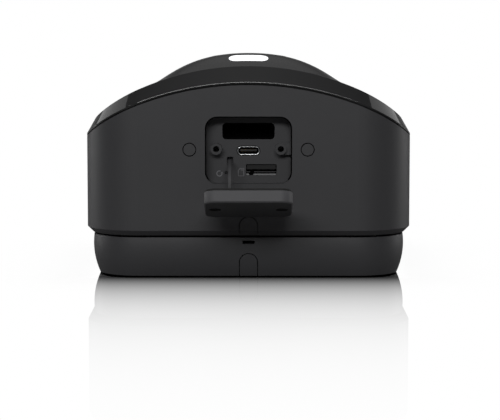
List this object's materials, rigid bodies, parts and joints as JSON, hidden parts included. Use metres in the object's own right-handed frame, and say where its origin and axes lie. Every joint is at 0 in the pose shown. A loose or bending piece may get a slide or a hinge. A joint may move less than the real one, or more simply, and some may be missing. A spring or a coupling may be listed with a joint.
{
  "type": "wide-angle security camera",
  "caption": "Rounded box-shaped security camera with an arched glossy front cover, an open port cover on a strap, and a screw-on mounting base.",
  "frame": {"origin": "centre of the wall screw pattern, in the plane that the base's feet and screw seats rest on", "axes": "+X right and +Y away from a viewer who faces the port bay; +Z from the wall or table through base and camera to the lens"},
  "size_m": [0.132, 0.1391, 0.0898],
  "materials": {
    "housing_plastic": "fine-grained moulded matte black",
    "cover_plastic": "smooth glossy black",
    "black_rubber": "soft matte",
    "grey_rubber": "soft matte",
    "light_diffuser": "lit white diffuser",
    "infrared_acrylic": "smoked, dark red",
    "optical_glass": "polished and coated",
    "filter_glass": "coated",
    "metal_bezel": "anodised black",
    "black_barrel": "blackened",
    "white_fresnel": "milky",
    "sensor_can": "plated",
    "green_board": "solder mask",
    "black_chip": "moulded epoxy",
    "led_white": "clear resin",
    "steel": "zinc plated",
    "tinned_steel": "tin plated",
    "aluminium_plate": "stamped",
    "thermal_gel": "soft",
    "cell_wrap": "shrink wrapped cell",
    "inner_plastic": "moulded",
    "foam": "open cell",
    "speaker_basket": "magnet and basket",
    "paper_cone": "coated paper",
    "mesh_cloth": "woven",
    "gold_contact": "gold flashed",
    "copper_strip": "flexible foil"
  },
  "bodies": {
    "base": {"mounting_base": "housing_plastic", "foot_pads": "grey_rubber", "base_knockout": "housing_plastic"},
    "latch": {"release_latch": "inner_plastic"},
    "camera": {"main_housing": "housing_plastic", "front_cover": "cover_plastic", "front_seal": "black_rubber", "lens_bezel": "metal_bezel", "lens_dome": "optical_glass", "lens_barrel": "black_barrel", "front_lens_element": "optical_glass", "rear_lens_elements": "optical_glass", "lens_holder": "inner_plastic", "infrared_filter": "filter_glass", "image_sensor": "black_chip", "camera_board": "green_board", "camera_screws": "steel", "infrared_windows": "infrared_acrylic", "status_light_window": "light_diffuser", "status_light_board": "green_board", "infrared_shrouds": "inner_plastic", "infrared_boards": "green_board", "infrared_leds": "led_white", "motion_lens": "white_fresnel", "motion_sensor": "sensor_can", "sensor_board": "green_board", "light_sensor": "black_chip", "light_sensor_pipe": "led_white", "microphone": "sensor_can", "screw_plugs": "black_rubber", "bay_screws": "steel", "housing_screws": "steel", "inner_frame": "inner_plastic", "main_board": "green_board", "board_screws": "steel", "processor_shield": "tinned_steel", "thermal_pad": "thermal_gel", "heat_spreader": "aluminium_plate", "battery_holder": "inner_plastic", "battery_cells": "cell_wrap", "battery_foam": "foam", "speaker_mesh": "mesh_cloth", "speaker": "speaker_basket", "speaker_cone": "paper_cone", "antennas": "copper_strip", "port_bay": "housing_plastic", "port_board": "green_board", "usb_c_shell": "tinned_steel", "usb_c_tongue": "black_chip", "usb_c_contacts": "gold_contact", "usb_c_riser": "black_chip", "microsd_socket": "tinned_steel", "reset_switch": "black_chip", "cable_knockout": "housing_plastic"},
    "strap_end": {"strap_anchor": "grey_rubber", "port_cover_strap": "grey_rubber"},
    "cover": {"port_cover": "grey_rubber", "port_cover_gasket": "black_rubber"},
    "button": {"reset_button": "inner_plastic"}
  },
  "joints": [
    {"name": "lift_off", "type": "slide", "parent": "base", "child": "camera", "axis": [0, 0, 1], "range_m": [0, 0.03]},
    {"name": "latch_press", "type": "slide", "parent": "base", "child": "latch", "axis": [0, 1, 0], "range_m": [0, 0.0012], "stiffness_N_per_m": 400},
    {"name": "strap_push_in", "type": "slide", "parent": "camera", "child": "strap_end", "axis": [0, 1, 0], "range_m": [0, 0.008], "deforming": ["port_cover_strap"]},
    {"name": "cover_swing", "type": "hinge", "parent": "strap_end", "child": "cover", "pos_m": [0, -0.0523, 0.0305], "axis": [1, 0, 0], "range_deg": [-71.2, 15], "stiffness_Nm_per_rad": 0.01, "springref_deg": -2.86},
    {"name": "reset_press", "type": "slide", "parent": "camera", "child": "button", "axis": [0, 1, 0], "range_m": [0, 0.0004], "stiffness_N_per_m": 500}
  ]
}
